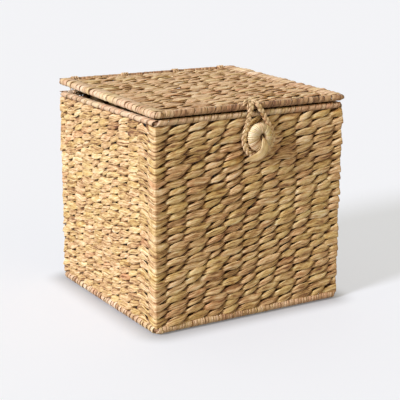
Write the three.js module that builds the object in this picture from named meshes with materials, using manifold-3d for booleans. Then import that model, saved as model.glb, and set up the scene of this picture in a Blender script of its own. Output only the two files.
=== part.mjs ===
// Woven lidded box: twined leaf strands on a welded wire cage, a lid lashed to the back rim,
// and a plaited loop on the lid that hooks over a wound button on the front wall.
// Millimetres, +Z up, front towards -Y. The origin is the middle of the underside.

import * as THREE from 'three';
import { mergeVertices } from 'three/addons/utils/BufferGeometryUtils.js';
import Module from 'manifold-3d';

const wasm = await Module();
wasm.setup();

// Overall size of the box, over its rim rails
const boxWidth = 330;
const boxDepth = 316;
const rimHeight = 316;

// Running clearance between pieces, and how far a cutting tool passes what it cuts
const clearance = 0.3;
const overrun = 3;

// Leaf-wound rails round the base, the rim and the lid
const baseRailDiameter = 11;
const rimRailDiameter = 11;
const lidRailDiameter = 10;
const cornerRadius = 9;
const railSides = 8;
const cornerSteps = 2;

// Welded wire cage: every wall is divided into bays by its stakes
const wireDiameter = 3.5;
const wireSides = 6;
const bayCount = 10;

// The leaf leaves a square way for each wire, wider than the wire by the clearance
const tunnelSides = 4;

// Twined weave: courses of relief on the outside of each panel
const coursePitch = 11.3;
const courseRelief = 1.5;
const courseSteps = 3;
const wallThickness = 13;
const baseThickness = 10;
const lidThickness = 9;

// Lid: how far it oversails the rim, and how far the lashings hold up its back
const lidOverhang = 1.5;
const lidBackLift = 6.8;

// Cord lashings that hinge the lid
const tieCordDiameter = 3.2;
const tieTurns = 3;
const tiePitch = 4;
const tieArcSteps = 7;
const tieSides = 6;

// Wound button: a ring of leaf with a small hole, fluted by its turns of strip; it hangs below the rim
const buttonX = 5;
const buttonDrop = 41;
const buttonDiameter = 44;
const buttonHoleDiameter = 5;
const buttonThickness = 15;
const buttonTurns = 16;
const fluteDepthShare = 0.07;
const buttonSectionSides = 8;

// Twisted leaf that ties the button to the wall, knotted in front and inside
const tieStemDiameter = 3.2;
const frontKnotDiameter = 7;
const innerKnotDiameter = 9;
const knotArcSteps = 5;
const stemSides = 10;

// Plaited loop
const loopCordWidth = 8;
const loopCordThickness = 5;
const loopArcSteps = 20;
const loopRunSteps = 6;
const loopSides = 8;
const loopPivotAngle = Math.PI / 4;

// Ends of the loop over the lid's front rail, under a short lashing with a knot
const anchorX = -2;
const anchorEndAngle = (140 * Math.PI) / 180;
const anchorPivotGap = 4.2;
const anchorSteps = 5;
const lashingDiameter = 4;
const lashingKnotDiameter = 8;
const lashingAngle = (100 * Math.PI) / 180;
const ballSides = 10;

// Places worked out from the sizes above
const wireRadius = wireDiameter / 2;
const baseRailRadius = baseRailDiameter / 2;
const rimRailRadius = rimRailDiameter / 2;
const lidRailRadius = lidRailDiameter / 2;
const wallX = boxWidth / 2 - rimRailRadius;
const wallY = boxDepth / 2 - rimRailRadius;
const baseRailZ = baseRailRadius;
const rimRailZ = rimHeight - rimRailRadius;
const wallBottom = baseRailDiameter + clearance;
const wallTop = rimHeight - rimRailDiameter - clearance;
const wallFront = -wallY - wallThickness / 2;
const buttonZ = rimHeight - buttonDrop;
const lidX = boxWidth / 2 + lidOverhang - lidRailRadius;
const lidY = boxDepth / 2 + lidOverhang - lidRailRadius;
const lidFrontZ = rimHeight + clearance + lidRailRadius;
const hingeZ = lidFrontZ + lidBackLift;
const lidSpan = 2 * lidY;
const lidTilt = Math.asin(lidBackLift / lidSpan);
const tieLength = tieTurns * tiePitch + tieCordDiameter;
const tunnelRadius = (wireRadius + clearance) * Math.SQRT2;

const cageRing = { halfX: wallX, halfY: wallY };
const lidRing = { halfX: lidX, halfY: lidY };
const sideTurns = { front: 0, right: Math.PI / 2, back: Math.PI, left: -Math.PI / 2 };
const sideNames = Object.keys(sideTurns);

// Mesh helpers

function closedGeometry(points, faces) {
  const volume = faces.reduce((sum, [a, b, c]) => {
    const across = new THREE.Vector3().crossVectors(points[b], points[c]);
    return sum + points[a].dot(across);
  }, 0);
  const index = faces.flatMap(([a, b, c]) => (volume < 0 ? [a, c, b] : [a, b, c]));
  const geometry = new THREE.BufferGeometry().setFromPoints(points);
  geometry.setIndex(index);
  return geometry;
}

// Skin over a row of rings; an outline closes both ends, and without one the row closes on itself
function loft(rings, outline) {
  const count = rings[0].length;
  const spans = outline ? rings.length - 1 : rings.length;
  const faces = [];
  for (let i = 0; i < spans; i += 1) {
    const here = i * count;
    const next = ((i + 1) % rings.length) * count;
    for (let j = 0; j < count; j += 1) {
      const k = (j + 1) % count;
      faces.push([here + j, next + j, next + k]);
      faces.push([here + j, next + k, here + k]);
    }
  }
  if (outline) {
    const last = (rings.length - 1) * count;
    for (const [a, b, c] of THREE.ShapeUtils.triangulateShape(outline, [])) {
      faces.push([a, b, c]);
      faces.push([last + c, last + b, last + a]);
    }
  }
  return closedGeometry(rings.flat(), faces);
}

function toSolid(geometry) {
  const bare = geometry.clone();
  bare.deleteAttribute('normal');
  bare.deleteAttribute('uv');
  const merged = mergeVertices(bare);
  const vertProperties = new Float32Array(merged.getAttribute('position').array);
  const triVerts = new Uint32Array(merged.getIndex().array);
  return new wasm.Manifold(new wasm.Mesh({ numProp: 3, vertProperties, triVerts }));
}

function toGeometry(solid) {
  const { vertProperties, triVerts } = solid.getMesh();
  const geometry = new THREE.BufferGeometry();
  geometry.setAttribute('position', new THREE.BufferAttribute(vertProperties, 3));
  geometry.setIndex(new THREE.BufferAttribute(triVerts, 1));
  return geometry;
}

function joined(geometries) {
  return geometries.map(toSolid).reduce((whole, solid) => whole.add(solid));
}

function circle(radius, sides, centre = 0) {
  const points = [];
  for (let i = 0; i < sides; i += 1) {
    const angle = (2 * Math.PI * (i + 1 / 2)) / sides;
    points.push(new THREE.Vector2(radius * Math.cos(angle), centre + radius * Math.sin(angle)));
  }
  return points;
}

function wire(from, to, radius, sides = wireSides) {
  const along = to.clone().sub(from);
  const geometry = new THREE.CylinderGeometry(radius, radius, along.length(), sides);
  geometry.rotateY(Math.PI / sides);
  const upright = new THREE.Vector3(0, 1, 0);
  geometry.applyQuaternion(new THREE.Quaternion().setFromUnitVectors(upright, along.normalize()));
  const middle = from.clone().add(to).divideScalar(2);
  geometry.translate(middle.x, middle.y, middle.z);
  return geometry;
}

function block(low, high) {
  const size = high.clone().sub(low);
  const middle = low.clone().add(high).divideScalar(2);
  return new THREE.BoxGeometry(size.x, size.y, size.z).translate(middle.x, middle.y, middle.z);
}

// Places along one side of a rounded square ring, from the middle of one corner to the next,
// seen with that side in front; each has its point, the way out and the way along
function sideStations(side, { halfX, halfY }, gap) {
  const facesY = side === 'front' || side === 'back';
  const half = facesY ? halfX : halfY;
  const reach = facesY ? halfY : halfX;
  const stations = [];
  for (const [end, start] of [[-1, 225], [1, 270]]) {
    const centre = new THREE.Vector3(end * (half - cornerRadius), cornerRadius - reach, 0);
    for (let i = 0; i <= cornerSteps; i += 1) {
      const angle = THREE.MathUtils.degToRad(start + (45 * i) / cornerSteps);
      const out = new THREE.Vector3(Math.cos(angle), Math.sin(angle), 0);
      const along = new THREE.Vector3(-out.y, out.x, 0);
      const point = centre.clone().addScaledVector(out, cornerRadius);
      stations.push({ point, out, along });
    }
  }
  const first = stations[0];
  const last = stations[stations.length - 1];
  first.point.addScaledVector(first.along, gap / 2);
  last.point.addScaledVector(last.along, -gap / 2);
  return stations;
}

function ringAt({ point, out }, outline) {
  return outline.map(({ x, y }) => point.clone().addScaledVector(out, x).setZ(y));
}

function sideLoft(side, ring, outline) {
  const rings = sideStations(side, ring, clearance).map((station) => ringAt(station, outline));
  return loft(rings, outline).rotateZ(sideTurns[side]);
}

function hoop(ring, z, radius, sides) {
  const outline = circle(radius, sides, z);
  const rings = sideNames.flatMap((side) => {
    const stations = sideStations(side, ring, 0).slice(1);
    const turn = new THREE.Matrix4().makeRotationZ(sideTurns[side]);
    return stations.map((station) => ringAt(station, outline).map((p) => p.applyMatrix4(turn)));
  });
  return loft(rings);
}

function stakePlaces(half) {
  const places = [];
  for (let i = 1; i < bayCount; i += 1) {
    places.push(-half + (i * 2 * half) / bayCount);
  }
  return places;
}

// Welded cages

function boxCage(radius, sides) {
  const wires = [hoop(cageRing, baseRailZ, radius, sides), hoop(cageRing, rimRailZ, radius, sides)];
  for (const side of sideNames) {
    const facesY = side === 'front' || side === 'back';
    const half = facesY ? wallX : wallY;
    const reach = facesY ? wallY : wallX;
    const cornerInset = cornerRadius * (1 - Math.SQRT1_2);
    const uprights = stakePlaces(half).map((x) => [x, -reach]);
    uprights.push([cornerInset - half, cornerInset - reach]);
    for (const [x, y] of uprights) {
      const foot = new THREE.Vector3(x, y, baseRailZ);
      const head = new THREE.Vector3(x, y, rimRailZ);
      wires.push(wire(foot, head, radius, sides).rotateZ(sideTurns[side]));
    }
  }
  for (const x of stakePlaces(wallX)) {
    wires.push(wire(new THREE.Vector3(x, -wallY, baseRailZ), new THREE.Vector3(x, wallY, baseRailZ), radius, sides));
  }
  return joined(wires);
}

function lidCage(radius, sides) {
  const wires = [hoop(lidRing, 0, radius, sides)];
  for (const x of stakePlaces(lidX)) {
    wires.push(wire(new THREE.Vector3(x, -lidY, 0), new THREE.Vector3(x, lidY, 0), radius, sides));
  }
  return joined(wires);
}

const boxTunnels = boxCage(tunnelRadius, tunnelSides);
const lidTunnels = lidCage(tunnelRadius, tunnelSides);

// Weave panels: one bulge to each course

function courseEdge(from, to, crest) {
  const count = Math.round((to - from) / coursePitch);
  const pitch = (to - from) / count;
  const swell = (step) => Math.sin((Math.PI * step) / courseSteps);
  const highest = swell(Math.floor(courseSteps / 2));
  const points = [];
  for (let i = 0; i < count * courseSteps; i += 1) {
    const rise = swell(i % courseSteps) / highest;
    const place = from + (i * pitch) / courseSteps;
    points.push(new THREE.Vector2(crest - courseRelief * (1 - rise), place));
  }
  points.push(new THREE.Vector2(crest - courseRelief, to));
  return points;
}

function wallWeave(side) {
  const half = wallThickness / 2;
  const outline = [
    ...courseEdge(wallBottom, wallTop, half),
    new THREE.Vector2(-half, wallTop),
    new THREE.Vector2(-half, wallBottom),
  ];
  return toSolid(sideLoft(side, cageRing, outline)).subtract(boxTunnels);
}

// A flat panel between four rails, with its courses along X and its corners clear of the rails
function flatWeave({ halfX, halfY }, railRadius, bottom, top) {
  const reachX = halfX - railRadius - clearance;
  const reachY = halfY - railRadius - clearance;
  const outline = [
    ...courseEdge(-reachY, reachY, top).map(({ x, y }) => new THREE.Vector2(y, x)),
    new THREE.Vector2(reachY, bottom),
    new THREE.Vector2(-reachY, bottom),
  ].reverse();
  const rings = [-reachX, reachX].map((x) => outline.map((p) => new THREE.Vector3(x, p.x, p.y)));
  const corner = cornerRadius - railRadius - clearance;
  const plan = new THREE.Shape();
  for (const [sx, sy, start] of [[1, -1, 270], [1, 1, 0], [-1, 1, 90], [-1, -1, 180]]) {
    const from = THREE.MathUtils.degToRad(start);
    plan.absarc(sx * (reachX - corner), sy * (reachY - corner), corner, from, from + Math.PI / 2);
  }
  const depth = top - bottom + 2 * overrun;
  const prism = new THREE.ExtrudeGeometry(plan, { depth, bevelEnabled: false, curveSegments: cornerSteps });
  prism.translate(0, 0, bottom - overrun);
  return toSolid(loft(rings, outline)).intersect(toSolid(prism));
}

// Rails wound with leaf, bored for the cage's hoops and stakes

function railSide(side, ring, radius, z, tunnels) {
  return toSolid(sideLoft(side, ring, circle(radius, railSides, z))).subtract(tunnels);
}

// Hinge lashings: an unbroken cord round the rim rail and the lid's back rail

const tieRimReach = rimRailRadius + clearance + tieCordDiameter / 2;
const tieLidReach = lidRailRadius + clearance + tieCordDiameter / 2;
const outerTieX = (stakePlaces(wallX)[bayCount - 2] + wallX - cornerRadius) / 2;
const innerTieX = wallX * (3 / bayCount);
const tiePlaces = [-outerTieX, -innerTieX, innerTieX, outerTieX];

function tieTurnPoints() {
  const low = new THREE.Vector2(wallY, rimRailZ);
  const high = new THREE.Vector2(lidY, hingeZ);
  const rise = high.clone().sub(low);
  const lean = Math.atan2(rise.y, rise.x);
  const spread = Math.acos((tieRimReach - tieLidReach) / rise.length());
  const arcs = [
    { centre: low, reach: tieRimReach, from: lean + spread, sweep: 2 * (Math.PI - spread) },
    { centre: high, reach: tieLidReach, from: lean - spread, sweep: 2 * spread },
  ];
  return arcs.flatMap(({ centre, reach, from, sweep }) => {
    const points = [];
    for (let i = 0; i <= tieArcSteps; i += 1) {
      const angle = from + (sweep * i) / tieArcSteps;
      points.push(new THREE.Vector2(centre.x + reach * Math.cos(angle), centre.y + reach * Math.sin(angle)));
    }
    return points;
  });
}

function hingeTie(x) {
  const turn = tieTurnPoints();
  const steps = tieTurns * turn.length;
  const path = [];
  for (let i = 0; i <= steps; i += 1) {
    const { x: y, y: z } = turn[i % turn.length];
    path.push(new THREE.Vector3(x + (i / steps - 1 / 2) * tieTurns * tiePitch, y, z));
  }
  const outline = circle(tieCordDiameter / 2, tieSides);
  const rings = path.map((point, i) => {
    const before = path[Math.max(i - 1, 0)];
    const after = path[Math.min(i + 1, steps)];
    const along = after.clone().sub(before).normalize();
    const out = new THREE.Vector3(1, 0, 0).cross(along).normalize();
    const across = along.clone().cross(out);
    return outline.map((p) => point.clone().addScaledVector(out, p.x).addScaledVector(across, p.y));
  });
  return loft(rings, outline);
}

// Room for a lashing in the top of the back wall and in the back edge of the lid's panel
function wallTieNotch(x) {
  const half = tieLength / 2 + clearance;
  const floor = rimRailZ - tieRimReach - tieCordDiameter / 2 - clearance;
  const low = new THREE.Vector3(x - half, wallY - wallThickness, floor);
  const high = new THREE.Vector3(x + half, wallY + wallThickness, rimHeight);
  return toSolid(block(low, high));
}

function lidTieNotch(x) {
  const half = tieLength / 2 + clearance;
  const swept = lidRailRadius + 2 * (tieCordDiameter + clearance) - clearance / 2;
  const low = new THREE.Vector3(x - half, lidY - swept, -lidThickness);
  const high = new THREE.Vector3(x + half, lidY, lidThickness);
  return toSolid(block(low, high));
}

// Button and its tie, both on one axis through the front wall

const buttonSeatY = wallFront - clearance;
const buttonMiddleY = buttonSeatY - buttonThickness / 2;
const sectionHalf = (buttonDiameter - buttonHoleDiameter) / 4;
const sectionMiddle = (buttonDiameter + buttonHoleDiameter) / 4;

function wovenButton() {
  const stations = 2 * buttonTurns;
  const flatHalf = buttonThickness / 2 / Math.cos(Math.PI / buttonSectionSides);
  const rings = [];
  for (let i = 0; i < stations; i += 1) {
    const angle = (2 * Math.PI * i) / stations;
    const swell = i % 2 === 0 ? 1 : 1 - fluteDepthShare;
    rings.push(circle(1, buttonSectionSides).map(({ x, y }) => {
      const reach = sectionMiddle + sectionHalf * x * swell;
      const depth = flatHalf * y * swell;
      return new THREE.Vector3(reach * Math.cos(angle), depth, reach * Math.sin(angle));
    }));
  }
  return loft(rings).translate(buttonX, buttonMiddleY, buttonZ);
}

const frontKnotY = buttonMiddleY - buttonThickness / 2 + frontKnotDiameter / 4;
const innerKnotY = wallFront + wallThickness + clearance + innerKnotDiameter / 2;

function knotArc(centre, diameter, fromStem) {
  const radius = diameter / 2;
  const neck = Math.asin(tieStemDiameter / diameter);
  const points = [];
  for (let i = 0; i < knotArcSteps; i += 1) {
    const angle = neck + ((Math.PI - neck) * i) / (knotArcSteps - 1);
    const reach = i === knotArcSteps - 1 ? 0 : radius * Math.sin(angle);
    points.push(new THREE.Vector2(reach, centre + fromStem * radius * Math.cos(angle)));
  }
  return points;
}

function buttonTie() {
  const profile = [
    ...knotArc(-innerKnotY, innerKnotDiameter, 1).reverse(),
    ...knotArc(-frontKnotY, frontKnotDiameter, -1),
  ];
  return new THREE.LatheGeometry(profile, stemSides).rotateX(Math.PI).translate(buttonX, 0, buttonZ);
}

function buttonBore() {
  const front = new THREE.Vector3(buttonX, wallFront - overrun, buttonZ);
  const back = new THREE.Vector3(buttonX, wallFront + wallThickness + overrun, buttonZ);
  return toSolid(wire(front, back, tieStemDiameter / 2 + clearance, stemSides));
}

// Plaited loop: it hangs from a pivot on the front rail and goes round the button

const lidFrontY = lidY - lidSpan * Math.cos(lidTilt);
const loopRailReach = lidRailRadius + clearance + loopCordThickness / 2;
const pivot = new THREE.Vector3(
  anchorX,
  lidFrontY - loopRailReach * Math.cos(loopPivotAngle),
  lidFrontZ + loopRailReach * Math.sin(loopPivotAngle),
);
const loopReach = buttonDiameter / 2 + clearance + loopCordWidth / 2;
const strandOffset = loopCordWidth / 2 + clearance / 2;

function loopHangY(z) {
  const above = Math.max(z - lidFrontZ, 0);
  return lidFrontY - Math.sqrt(loopRailReach ** 2 - above ** 2);
}

// The run from the pivot down to where the cord meets its round bottom, on one side
function loopRun(sideSign) {
  const start = new THREE.Vector2(anchorX + sideSign * strandOffset, pivot.z);
  const toStart = start.clone().sub(new THREE.Vector2(buttonX, buttonZ));
  const spread = Math.acos(loopReach / toStart.length());
  const angle = Math.atan2(toStart.y, toStart.x) - sideSign * spread;
  const end = new THREE.Vector2(buttonX + loopReach * Math.cos(angle), buttonZ + loopReach * Math.sin(angle));
  const points = [];
  for (let i = 0; i < loopRunSteps; i += 1) {
    points.push(start.clone().lerp(end, (i / loopRunSteps) ** 2));
  }
  return { points, angle };
}

function loopPath() {
  const left = loopRun(-1);
  const right = loopRun(1);
  const sweep = (right.angle - left.angle + 4 * Math.PI) % (2 * Math.PI);
  const points = [...left.points];
  for (let i = 0; i <= loopArcSteps; i += 1) {
    const angle = left.angle + (sweep * i) / loopArcSteps;
    points.push(new THREE.Vector2(buttonX + loopReach * Math.cos(angle), buttonZ + loopReach * Math.sin(angle)));
  }
  points.push(...right.points.reverse());
  return points.map((p) => new THREE.Vector3(p.x, loopHangY(p.y), p.y));
}

// An oval cord along a path, its thin way across the path in the plane of the side vector
function ovalCord(path, widthWay) {
  const outline = circle(1, loopSides);
  const rings = path.map((point, i) => {
    const before = path[Math.max(i - 1, 0)];
    const after = path[Math.min(i + 1, path.length - 1)];
    const along = after.clone().sub(before).normalize();
    const wide = widthWay(along);
    const thin = along.clone().cross(wide);
    return outline.map((p) => point
      .clone()
      .addScaledVector(wide, (p.x * loopCordWidth) / 2)
      .addScaledVector(thin, (p.y * loopCordThickness) / 2));
  });
  return loft(rings, outline);
}

function closureLoop() {
  const outward = new THREE.Vector3(0, -1, 0);
  return ovalCord(loopPath(), (along) => along.clone().cross(outward).normalize());
}

function anchorStub(x) {
  const start = loopPivotAngle + anchorPivotGap / loopRailReach;
  const path = [];
  for (let i = 0; i <= anchorSteps; i += 1) {
    const angle = start + ((anchorEndAngle - start) * i) / anchorSteps;
    path.push(new THREE.Vector3(x, -lidY - loopRailReach * Math.cos(angle), loopRailReach * Math.sin(angle)));
  }
  return ovalCord(path, () => new THREE.Vector3(1, 0, 0));
}

function loopAnchor() {
  const y = -lidY - loopRailReach * Math.cos(lashingAngle);
  const z = loopRailReach * Math.sin(lashingAngle) + loopCordThickness / 4;
  const half = 2 * strandOffset;
  const left = new THREE.Vector3(anchorX - half, y, z);
  const right = new THREE.Vector3(anchorX + half, y, z);
  const knot = new THREE.SphereGeometry(lashingKnotDiameter / 2, ballSides, ballSides / 2);
  return joined([
    anchorStub(anchorX - strandOffset),
    anchorStub(anchorX + strandOffset),
    wire(left, right, lashingDiameter / 2),
    knot.translate(left.x, left.y, left.z),
  ]);
}

// Room in the lid's panel for the two ends that dive in behind the rail
function anchorNotch() {
  const half = strandOffset + loopCordWidth / 2 + clearance;
  const floor = (lidRailRadius + clearance) * Math.sin(anchorEndAngle) - clearance;
  const reach = loopRailReach + loopCordThickness / 2 + clearance;
  const low = new THREE.Vector3(anchorX - half, -lidY, floor);
  const high = new THREE.Vector3(anchorX + half, -lidY + reach, lidThickness);
  return toSolid(block(low, high));
}

// Materials

function leaf(color) {
  return new THREE.MeshStandardMaterial({ color, roughness: 0.75, metalness: 0 });
}

const finishes = {
  wall: () => leaf('#c8a56e'),
  rail: () => leaf('#d8b98a'),
  lid: () => leaf('#cdaf8c'),
  cord: () => leaf('#b48c5a'),
  button: () => leaf('#c09a62'),
  steel: () => new THREE.MeshStandardMaterial({ color: '#3c3a38', roughness: 0.5, metalness: 0.9 }),
};

// Assembly

const group = new THREE.Group();
const lid = new THREE.Group();
lid.position.set(0, lidY, hingeZ);
lid.rotation.x = lidTilt;
group.add(lid);

function add(name, geometry, finish, parent = group) {
  const mesh = new THREE.Mesh(geometry, finishes[finish]());
  mesh.name = name;
  parent.add(mesh);
}

function addToLid(name, geometry, finish) {
  add(name, geometry.translate(0, -lidY, 0), finish, lid);
}

add('box_cage', toGeometry(boxCage(wireRadius, wireSides)), 'steel');
for (const side of sideNames) {
  let weave = wallWeave(side);
  if (side === 'front') weave = weave.subtract(buttonBore());
  if (side === 'back') weave = tiePlaces.reduce((left, x) => left.subtract(wallTieNotch(x)), weave);
  add(`${side}_weave`, toGeometry(weave), 'wall');
  const base = railSide(side, cageRing, baseRailRadius, baseRailZ, boxTunnels);
  const rim = railSide(side, cageRing, rimRailRadius, rimRailZ, boxTunnels);
  add(`${side}_base_binding`, toGeometry(base), 'rail');
  add(`${side}_rim_binding`, toGeometry(rim), 'rail');
}
const floor = flatWeave(cageRing, baseRailRadius, 0, baseThickness);
add('base_weave', toGeometry(floor.subtract(boxTunnels)), 'wall');
tiePlaces.forEach((x, i) => add(`hinge_tie_${i + 1}`, hingeTie(x), 'cord'));
add('button', wovenButton(), 'button');
add('button_tie', buttonTie(), 'cord');

addToLid('lid_cage', toGeometry(lidCage(wireRadius, wireSides)), 'steel');
const panel = flatWeave(lidRing, lidRailRadius, -lidThickness / 2, lidThickness / 2);
const notches = [lidTunnels, anchorNotch(), ...tiePlaces.map(lidTieNotch)];
addToLid('lid_weave', toGeometry(notches.reduce((left, notch) => left.subtract(notch), panel)), 'lid');
for (const side of sideNames) {
  const rail = railSide(side, lidRing, lidRailRadius, 0, lidTunnels);
  addToLid(`${side}_lid_binding`, toGeometry(rail), 'rail');
}
addToLid('loop_anchor', toGeometry(loopAnchor()), 'cord');
add('closure_loop', closureLoop(), 'cord');

export default group;
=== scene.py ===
"""Looks of the woven lidded box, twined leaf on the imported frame. Sizes are in mm until a mesh is made."""

import math

import bpy
import numpy as np
from mathutils import Matrix, Vector


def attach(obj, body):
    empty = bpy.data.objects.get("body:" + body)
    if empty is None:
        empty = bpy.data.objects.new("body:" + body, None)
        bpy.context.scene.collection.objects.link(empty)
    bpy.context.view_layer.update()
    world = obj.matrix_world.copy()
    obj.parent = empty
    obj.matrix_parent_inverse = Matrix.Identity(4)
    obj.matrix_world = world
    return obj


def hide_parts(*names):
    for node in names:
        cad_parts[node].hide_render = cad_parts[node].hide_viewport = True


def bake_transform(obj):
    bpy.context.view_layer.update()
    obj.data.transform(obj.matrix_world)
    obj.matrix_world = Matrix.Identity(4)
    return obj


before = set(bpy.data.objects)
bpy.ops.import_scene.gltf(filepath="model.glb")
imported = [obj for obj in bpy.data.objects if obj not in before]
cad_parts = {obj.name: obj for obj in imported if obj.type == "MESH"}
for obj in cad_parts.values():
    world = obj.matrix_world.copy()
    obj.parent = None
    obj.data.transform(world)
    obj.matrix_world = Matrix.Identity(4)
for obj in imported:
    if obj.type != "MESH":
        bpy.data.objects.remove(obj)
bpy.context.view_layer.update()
rng = np.random.default_rng(41)

MM = 0.001
UP = np.array([0.0, 0.0, 1.0])
FRONT = np.array([0.0, -1.0, 0.0])
BACK = np.array([0.0, 1.0, 0.0])

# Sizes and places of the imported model
WALL_X = 159.5
WALL_Y = 152.5
LID_X = 161.5
LID_Y = 154.5
WALL_BOTTOM = 11.3
WALL_TOP = 304.7
CLEARANCE = 0.3
BASE_RAIL = 5.5
RIM_RAIL = 5.5
LID_RAIL = 5.0
RIM_RAIL_Z = 310.5
LID_FRONT_Z = 321.3
HINGE_Z = 328.1
LID_TILT = math.asin((HINGE_Z - LID_FRONT_Z) / (2 * LID_Y))
BAYS = 10
PITCH = 11.3
TIE_PLACES = (-139.05, -47.85, 47.85, 139.05)
TIE_HALF = 7.9
BUTTON = np.array([5.0, -166.8, 275.0])
ANCHOR_X = -2.0
SIDES = ("front", "right", "back", "left")

# The seen lid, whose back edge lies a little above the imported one
SEEN_RISE = 1.6
SEEN_BACK_Z = HINGE_Z + SEEN_RISE
SEEN_TILT = math.asin((SEEN_BACK_Z - LID_FRONT_Z) / (2 * LID_Y))


def unit(v):
    return v / np.maximum(np.linalg.norm(v, axis=-1, keepdims=True), 1e-9)


def rolled(first, second, angle):
    """Two directions turned in their own plane, the first towards the second."""
    c, s = np.cos(angle), np.sin(angle)
    return first * c + second * s, second * c - first * s


def add_camera():
    """The camera, at the place worked out from the corners of the box in the photograph."""
    ahead = np.array([0.50492, 0.82575, -0.24905])
    ahead /= np.linalg.norm(ahead)
    right = np.cross(ahead, UP)
    right /= np.linalg.norm(right)
    up = np.cross(right, ahead)
    right, up = rolled(right, up, math.radians(0.3152))
    data = bpy.data.cameras.new("camera")
    data.lens = 98.9
    data.sensor_width = 36
    data.clip_start = 0.05
    data.clip_end = 60
    camera = bpy.data.objects.new("camera", data)
    turn = np.column_stack([right, up, -ahead]).tolist()
    camera.matrix_world = Matrix.Translation((-0.88546, -1.45747, 0.58541)) @ Matrix(turn).to_4x4()
    bpy.context.scene.collection.objects.link(camera)
    bpy.context.scene.camera = camera


add_camera()


# Strand meshes: rows of rings along centrelines, with the data that the materials read

# Cross sections, as shares of half the width and half the thickness, and the faces that close the ends
LENS = np.array(
    [(1, 0), (0.82, 0.78), (0, 1), (-0.82, 0.78), (-1, 0), (-0.82, -0.78), (0, -1), (0.82, -0.78)]
)
FLAT = np.array(
    [(1, -0.4), (0.9, 0.55), (0.5, 0.97), (-0.5, 0.97), (-0.9, 0.55), (-1, -0.4), (-0.75, -1), (0.75, -1)]
)
STRIP = np.array([(1, 0), (0.6, 0.9), (-0.6, 0.9), (-1, 0), (-0.6, -0.9), (0.6, -0.9)])
PLUMP = np.array(
    [(1, 0), (0.74, 0.67), (0, 1), (-0.74, 0.67), (-1, 0), (-0.74, -0.67), (0, -1), (0.74, -0.67)]
)
CAPS = {
    6: [(0, 1, 2, 3), (0, 3, 4, 5)],
    8: [(0, 1, 2, 3), (0, 3, 4, 7), (4, 5, 6, 7)],
}

# The width that counts as 1 across the fibres, and how far apart the patterns of two strands can start
HALF_STITCH = 6.0
SEED_RANGE = 40

# Painted shade: how light the edges of a strand and the inner side of a weave are painted, beside 1 for its
# outer side
PAINTED_EDGE_LIGHT = 0.6
PAINTED_INNER_LIGHT = 0.58

# How much thinner a core is than what is wound round it
CORE_INSET = 2.4


def strands(
    centre, across, out, width, thick, tone, section=LENS, relief=0.0, surface=None, edge=PAINTED_EDGE_LIGHT
):
    """Closed tubes along centre (m, n, 3). across and out point along the section's width and thickness.
    tone is (m, n, 3): shade, hue and painted light, how far the strand lies open to the light. Where
    surface is given, as points and ways out on the middle surface of a weave and the depth that lies open,
    each point is painted as light as it stands out from there, with painted shade where it lies deeper and
    on the inner side. edge is how light the section's two edges are painted, as painted shade, in one value
    or one for each place."""
    m, n, _ = centre.shape
    k = len(section)
    width = np.broadcast_to(width, (m, n))
    thick = np.broadcast_to(thick, (m, n))
    lift = thick[..., None] / 2 * section[:, 1]
    if relief:
        lift = lift + relief * smooth_noise(m, n, k) * np.abs(section[:, 1])
    points = (
        centre[:, :, None, :]
        + (width[..., None] / 2 * section[:, 0])[..., None] * across[:, :, None, :]
        + lift[..., None] * out[:, :, None, :]
    )
    steps = np.linalg.norm(np.diff(centre, axis=1), axis=2)
    along = np.concatenate([np.zeros((m, 1)), np.cumsum(steps, axis=1)], axis=1)
    seeds = rng.random((m, 1)) * SEED_RANGE
    fibre = np.zeros((m, n, k, 3))
    fibre[..., 0] = along[..., None]
    fibre[..., 1] = section[:, 0] * width[..., None] / 2 / HALF_STITCH
    fibre[..., 2] = seeds[..., None]
    index = np.arange(m * n * k).reshape(m, n, k)
    after = np.roll(index, -1, axis=2)
    sides = np.stack([index[:, :-1], after[:, :-1], after[:, 1:], index[:, 1:]], axis=-1).reshape(-1, 4)
    caps = np.array(CAPS[k])
    first = index[:, 0][:, caps][..., ::-1].reshape(-1, 4)
    last = index[:, -1][:, caps].reshape(-1, 4)
    quads = np.concatenate([sides, first, last])
    turn = np.einsum("ijk,ijk->", np.cross(across[:, :-1], out[:, :-1]), np.diff(centre, axis=1))
    if turn < 0:
        quads = quads[:, ::-1]
    tones = np.broadcast_to(tone[:, :, None, :], (m, n, k, 3)).copy()
    if surface is not None:
        middle, away, painted_shade_depth = surface
        depth = np.sum((points - middle[:, :, None]) * away[:, :, None], axis=-1)
        # Painted shade in seams and gaps: the less a point stands out from the middle surface, the darker it
        # is painted, and the inner side darker still
        painted_light = np.clip(np.abs(depth) / painted_shade_depth, 0, 1) ** 0.8
        tones[..., 2] = painted_light * np.where(depth < 0, PAINTED_INNER_LIGHT, 1.0)
    # Painted shade along the section's two edges
    light = np.broadcast_to(edge, (n,))[None, :, None]
    tones[..., 2] *= np.where(np.abs(section[:, 0]) > 0.99, light, 1.0)
    return points.reshape(-1, 3), quads, fibre.reshape(-1, 3), tones.reshape(-1, 3)


def ways(centre, away):
    """The way across and the way out along lines of points (..., n, 3), out as near to away as it can be."""
    heading = unit(np.gradient(centre, axis=-2))
    out = unit(away - heading * np.sum(away * heading, axis=-1, keepdims=True))
    return np.cross(heading, out), out


def resampled(points, count):
    """That many points at even distances along a line, and those distances."""
    steps = np.concatenate([[0], np.cumsum(np.linalg.norm(np.diff(points, axis=0), axis=1))])
    at = np.linspace(0, steps[-1], count)
    return np.stack([np.interp(at, steps, points[:, i]) for i in range(3)], axis=-1), at


def smoothed(points, passes):
    """A line of points with its bends rounded, between the same two ends."""
    points = points.copy()
    for _ in range(passes):
        points[1:-1] = (points[:-2] + points[1:-1] * 2 + points[2:]) / 4
    return points


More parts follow.
